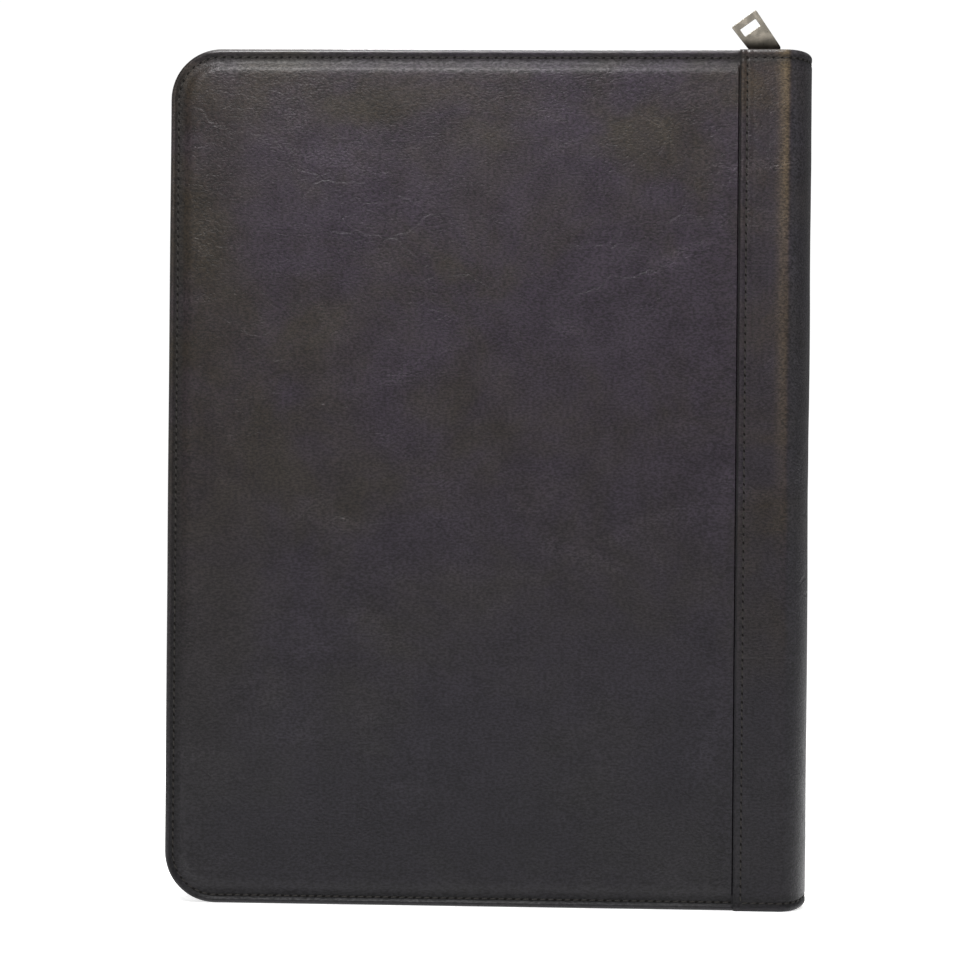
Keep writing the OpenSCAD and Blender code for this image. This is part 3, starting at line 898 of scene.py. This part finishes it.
def bevelled_copy(node, width, segments=2, corner=0.0, pin=None):
    """A copy of a CAD node, merged and with its edges broken. corner first rounds the edges that run
    through a plate's thickness, along Y, and that are clear of its pin."""
    bm = bmesh.new()
    bm.from_mesh(frame["nodes"][node].data)
    bm.transform(Matrix.Scale(1 / MM, 4))
    bmesh.ops.remove_doubles(bm, verts=bm.verts, dist=0.002)
    bmesh.ops.dissolve_limit(bm, angle_limit=math.radians(1.5), verts=bm.verts, edges=bm.edges)
    if corner:
        through = []
        for edge in bm.edges:
            run = edge.verts[1].co - edge.verts[0].co
            middle = (edge.verts[0].co + edge.verts[1].co) / 2
            clear_of_pin = pin is None or (middle - pin).length > 1.6
            if abs(run.normalized().y) > 0.99 and clear_of_pin:
                through.append(edge)
        bevel(bm, through, corner, 4)
    hard = [e for e in bm.edges if e.calc_face_angle(0) > math.radians(35)]
    bevel(bm, hard, width, segments, clamp=True)
    return bm


def make_slider():
    for node, name, width in (("slider_body", "slider_shell", 0.22), ("slider_bridge", "slider_arch", 0.25)):
        piece = finish_piece(bevelled_copy(node, width), name, chain_finish, body="slider",
                             flat_over=1)
        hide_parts(node)


def make_stops():
    for node in ("front_top_stop", "back_top_stop", "zip_bottom_stop"):
        body = "front_cover" if node.startswith("front") else "back_cover"
        stop = finish_piece(bevelled_copy(node, 0.3, 3), node + "_crimp", chain_finish, body=body)
        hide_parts(node)


def joint_place(name):
    return Vector(next(j["pos_m"] for j in frame["joints"] if j["name"] == name)) / MM


def make_link():
    """The bent wire loop that joins the bridge to the puller, turned from one round section."""
    foot, head = joint_place("link_swing"), joint_place("puller_swing")
    low, high = box_mm("puller_link")
    wire = 0.6
    half_w, corner = (high.y - low.y) / 2 - wire, 0.9
    up = (head - foot).normalized()
    length = (head - foot).length
    bm = bmesh.new()
    upright = Matrix.Rotation(math.pi / 2, 4, "Y")
    ring = bmesh.ops.create_circle(bm, segments=12, radius=wire, matrix=upright)
    section = ring["verts"]
    # In the loop's own plane x is along the link and y is across it.
    bmesh.ops.rotate(bm, verts=section, cent=(0, 0, 0), matrix=Matrix.Rotation(math.pi / 2, 3, "Z"))
    bmesh.ops.translate(bm, verts=section, vec=(0, -(half_w - corner), 0))
    edges = bm.edges[:]
    across, ahead = Vector((0, 2 * (half_w - corner), 0)), Vector((length - 2 * corner, 0, 0))
    runs = [across, ahead, -across, -ahead]
    start = Vector((corner, half_w - corner, 0))
    centres = [start, start + ahead, start + ahead - across, start - across]
    for run, centre in zip(runs, centres):
        grown = bmesh.ops.extrude_edge_only(bm, edges=edges)["geom"]
        bmesh.ops.translate(bm, verts=[g for g in grown if isinstance(g, bmesh.types.BMVert)], vec=run)
        edges = [g for g in grown if isinstance(g, bmesh.types.BMEdge)]
        turned = bmesh.ops.spin(bm, geom=edges, cent=centre, axis=(0, 0, -1), angle=math.pi / 2, steps=6,
                                use_duplicate=False)["geom_last"]
        edges = [g for g in turned if isinstance(g, bmesh.types.BMEdge)]
    bmesh.ops.remove_doubles(bm, verts=bm.verts, dist=0.01)
    side = Vector((0, 1, 0))
    place = Matrix.Translation(foot) @ Matrix((up, side, up.cross(side))).transposed().to_4x4()
    link = finish_piece(bm, "puller_wire_link", chain_finish, place, "link")
    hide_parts("puller_link")


def make_puller():
    pin = joint_place("puller_swing")
    plate = bevelled_copy("puller", 0.2, 3, corner=0.45, pin=pin)
    puller = finish_piece(plate, "puller_plate", puller_finish, body="puller",
                          sharp_deg=35, flat_over=1)
    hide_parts("puller")


# ---------------------------------------------------------------- inside


def flat_piece(name, corners, low, high, material, side, radius=1.5, edge=0.2, notch=()):
    """A soft flat piece in a cover's own frame: rounded corners, broken edges, a slight swell and, if
    asked, a thumb notch, whose points lie between the last two corners."""
    bm = bmesh.new()
    outline = [bm.verts.new((x, y, high)) for x, y in corners[:3] + list(notch) + corners[3:]]
    bm.faces.new(outline)
    if radius:
        turned = outline[:3] + outline[-1:]
        bevel(bm, turned, radius, 6, "VERTICES")
    grown = bmesh.ops.extrude_face_region(bm, geom=bm.faces[:])["geom"]
    moved = [g for g in grown if isinstance(g, bmesh.types.BMVert)]
    bmesh.ops.translate(bm, verts=moved, vec=(0, 0, low - high))
    rim = [e for e in bm.edges if e.calc_face_angle(0) > math.radians(60)]
    bevel(bm, rim, edge, 2)
    xs, ys = [c[0] for c in corners], [c[1] for c in corners]
    cut_across(bm, 0, steps_between(min(xs), max(xs), 9))
    cut_across(bm, 1, steps_between(min(ys), max(ys), 9))
    for v in bm.verts:
        inside = min(v.co.x - min(xs), max(xs) - v.co.x, v.co.y - min(ys), max(ys) - v.co.y)
        v.co.z += 0.12 * smooth(1, 12, inside) * ripple(v.co.x, v.co.y, 38, 9.0)
    return finish_piece(bm, name, material, SIDES[side], side + "_cover", 60)


def rectangle(low_x, low_y, high_x, high_y):
    return [(low_x, low_y), (high_x, low_y), (high_x, high_y), (low_x, high_y)]


def node_rectangle(node):
    """A flat node's outline and its two heights, in its cover's own frame."""
    low, high = box_mm(node)
    near, far = sorted((abs(low.y), abs(high.y)))
    return rectangle(low.x, low.z, high.x, high.z), near, far


def make_linings():
    for side in SIDES:
        corners, near, far = node_rectangle(side + "_lining")
        lining = flat_piece(side + "_cover_lining", corners, near, far, lining_finish, side, 9, 0.25)
        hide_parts(side + "_lining")
        wide, tall = (math.dist(corners[0], corners[k]) for k in (1, 3))
        edge = rectangle(corners[0][0] + 2, corners[0][1] + 2, corners[2][0] - 12, corners[2][1] - 2)
        around = [edge[1], edge[0], edge[3], edge[2]]
        stitched_line(side + "_lining_stitches", around, near - 0.05, SIDES[side], side + "_cover")


def make_pocket(name, node, side, corners, mouths, notch=()):
    """A pocket's panel on its sewn rim, with a turned mouth and a stitch row round it."""
    _, near, far = node_rectangle(node)
    panel_t = 0.8
    panel = flat_piece(name + "_panel", corners, near, near + panel_t, pocket_finish, side, 2, 0.25,
                       notch)
    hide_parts(node)
    (x0, y0), (x1, _), (_, y2), (_, y3) = corners
    rim = 3
    rims = {"foot": rectangle(x0, y0, x1, y0 + rim), "left": rectangle(x0, y0 + rim, x0 + rim, y3 - 1),
            "right": rectangle(x1 - rim, y0 + rim, x1, y2 - 1)}
    for part, strip in rims.items():
        flat_piece(f"{name}_rim_{part}", strip, near + panel_t, far, pocket_finish, side, 0, 0.1)
    inset = 2
    left, right, foot = x0 + inset, x1 - inset, y0 + inset
    around = [(left, y3 - inset), (left, foot), (right, foot), (right, y2 - inset)]
    stitched_line(name + "_stitches", around, near - 0.08, SIDES[side], side + "_cover")
    for i, mouth in enumerate(mouths):
        stitched_line(f"{name}_mouth_stitches_{i}", mouth, near - 0.08, SIDES[side], side + "_cover")


def make_pockets():
    corners, _, _ = node_rectangle("document_pocket")
    fall = 45
    slanted = [corners[0], corners[1], (corners[2][0], corners[2][1] - fall), corners[3]]
    mouth = [(slanted[3][0] + 4, slanted[3][1] - 5), (slanted[2][0] - 4, slanted[2][1] - 3)]
    make_pocket("document_pocket", "document_pocket", "front", slanted, [mouth])
    corners, _, _ = node_rectangle("pad_sleeve")
    middle, top, thumb = (corners[3][0] + corners[2][0]) / 2, corners[3][1], 14
    turns = [math.pi * i / 16 for i in range(17)]
    notch = [(middle + thumb * math.cos(t), top - thumb * math.sin(t)) for t in turns]
    mouths = [[(corners[3][0] + 4, top - 4), (middle - thumb - 4, top - 4)],
              [(middle + thumb + 4, top - 4), (corners[2][0] - 4, top - 4)]]
    make_pocket("pad_sleeve", "pad_sleeve", "back", corners, mouths, notch)

    low, high = box_mm("card_slots")
    leather_t, step, layer = 0.8, 13, 0.85
    card_h = high.z - low.z - 2 * step
    for i in range(3):
        foot = low.z + (2 - i) * step
        outer = abs(low.y) - i * layer
        slot_piece = flat_piece(f"card_slot_{i + 1}", rectangle(low.x, foot, high.x, foot + card_h),
                                outer - leather_t, outer, pocket_finish, "front", 2, 0.22)
        if i == 0:
            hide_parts("card_slots")
        top = foot + card_h - 2
        stitched_line(f"card_slot_{i + 1}_stitches", [(low.x + 2, top), (high.x - 2, top)],
                      outer - leather_t - 0.08, FRONT, "front_cover")


def make_pen_loop():
    loop = finish_piece(bevelled_copy("pen_loop", 0.18), "pen_loop_leather", pocket_finish,
                        body="front_cover")
    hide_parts("pen_loop")


def finish_cad_nodes():
    """The sealed inner pieces keep their CAD shape and take a finish of their own."""
    for node, piece in frame["nodes"].items():
        if node.endswith("_board"):
            finish, slot = board_finish, "board"
        elif node.endswith("_foam"):
            finish, slot = foam_finish, "foam"
        else:
            continue
        piece.data.materials.clear()
        piece.data.materials.append(finish)


# ---------------------------------------------------------------- studio


def make_studio():
    """A pale floor, soft light from above, the front, the back and the spine's side, and a white
    surround that is brighter to see than the light it gives."""
    bm = bmesh.new()
    bmesh.ops.create_grid(bm, x_segments=1, y_segments=1, size=1.5)
    mesh = bpy.data.meshes.new("floor")
    bm.to_mesh(mesh)
    bm.free()
    floor = bpy.data.objects.new("floor", mesh)
    bpy.context.scene.collection.objects.link(floor)
    pale = Finish("pale_floor", rest_place=False, Roughness=0.9, Specular_IOR_Level=0.1,
                  Emission_Color=(1, 1, 1, 1), Emission_Strength=0.72)
    tooth = pale.noise(40, detail=2)
    mesh.materials.append(pale.set(Base_Color=pale.mix(tooth, (0.8, 0.8, 0.8), (0.82, 0.82, 0.82))))
    floor.location.z = -0.0002

    scene = bpy.context.scene
    scene.view_settings.view_transform = "Standard"
    world = bpy.data.worlds.new("surround")
    scene.world = world
    world.use_nodes = True
    background = world.node_tree.nodes["Background"]
    background.inputs["Color"].default_value = (1, 1, 1, 1)
    seen = world.node_tree.nodes.new("ShaderNodeLightPath")
    strength = world.node_tree.nodes.new("ShaderNodeMapRange")
    strength.inputs["To Min"].default_value = 0.24
    strength.inputs["To Max"].default_value = 1.05
    world.node_tree.links.new(seen.outputs["Is Camera Ray"], strength.inputs["Value"])
    world.node_tree.links.new(strength.outputs[0], background.inputs["Strength"])

    for name, place, size, watts, aim in (
        ("overhead", (0, 0.1, 1.5), (1.4, 1.0), 12, (0, 0.1, 0)),
        ("above_front", (-0.14, -0.6, 0.88), (0.4, 0.25), 11.5, (-0.02, 0, 0.3)),
        ("spine_side", (1.1, -0.45, 0.5), (0.25, 0.8), 0.8, (0.12, 0, 0.2)),
        ("behind", (0.1, 0.75, 0.9), (0.5, 0.25), 6, (0, 0, 0.3)),
    ):
        light = bpy.data.lights.new(name, "AREA")
        light.shape, light.size, light.size_y, light.energy = "RECTANGLE", *size, watts
        lamp = bpy.data.objects.new(name, light)
        scene.collection.objects.link(lamp)
        lamp.location = place
        lamp.rotation_euler = (Vector(aim) - Vector(place)).to_track_quat("-Z", "Y").to_euler()


def make_camera():
    """Almost square on to the front cover, at half its height, turned a little to show the spine."""
    distance, turn, roll = 1.2, math.radians(2.85), math.radians(0.5)
    frame_width = 0.3897
    camera_data = bpy.data.cameras.new("camera")
    camera_data.sensor_width = 36
    camera_data.lens = 36 * distance / frame_width
    camera = bpy.data.objects.new("camera", camera_data)
    bpy.context.scene.collection.objects.link(camera)
    aim = Vector((-0.0009, -HALF_T * MM, 0.1697))
    camera.location = aim + Vector((math.sin(turn), -math.cos(turn), 0)) * distance
    look = (aim - camera.location).to_track_quat("-Z", "Y")
    camera.rotation_mode = "QUATERNION"
    camera.rotation_quaternion = look @ Matrix.Rotation(roll, 4, "Z").to_quaternion()
    bpy.context.scene.camera = camera


make_camera()
make_studio()
tooth = tooth_mesh()
for side in SIDES:
    make_cover_skin(side)
    make_strip(side)
    make_hinge_lining(side)
    make_tape(side)
    make_teeth(side, tooth)
bpy.data.meshes.remove(tooth)
make_slider()
make_stops()
make_link()
make_puller()
make_linings()
make_pockets()
make_pen_loop()
finish_cad_nodes()
bpy.data.meshes.remove(ball)
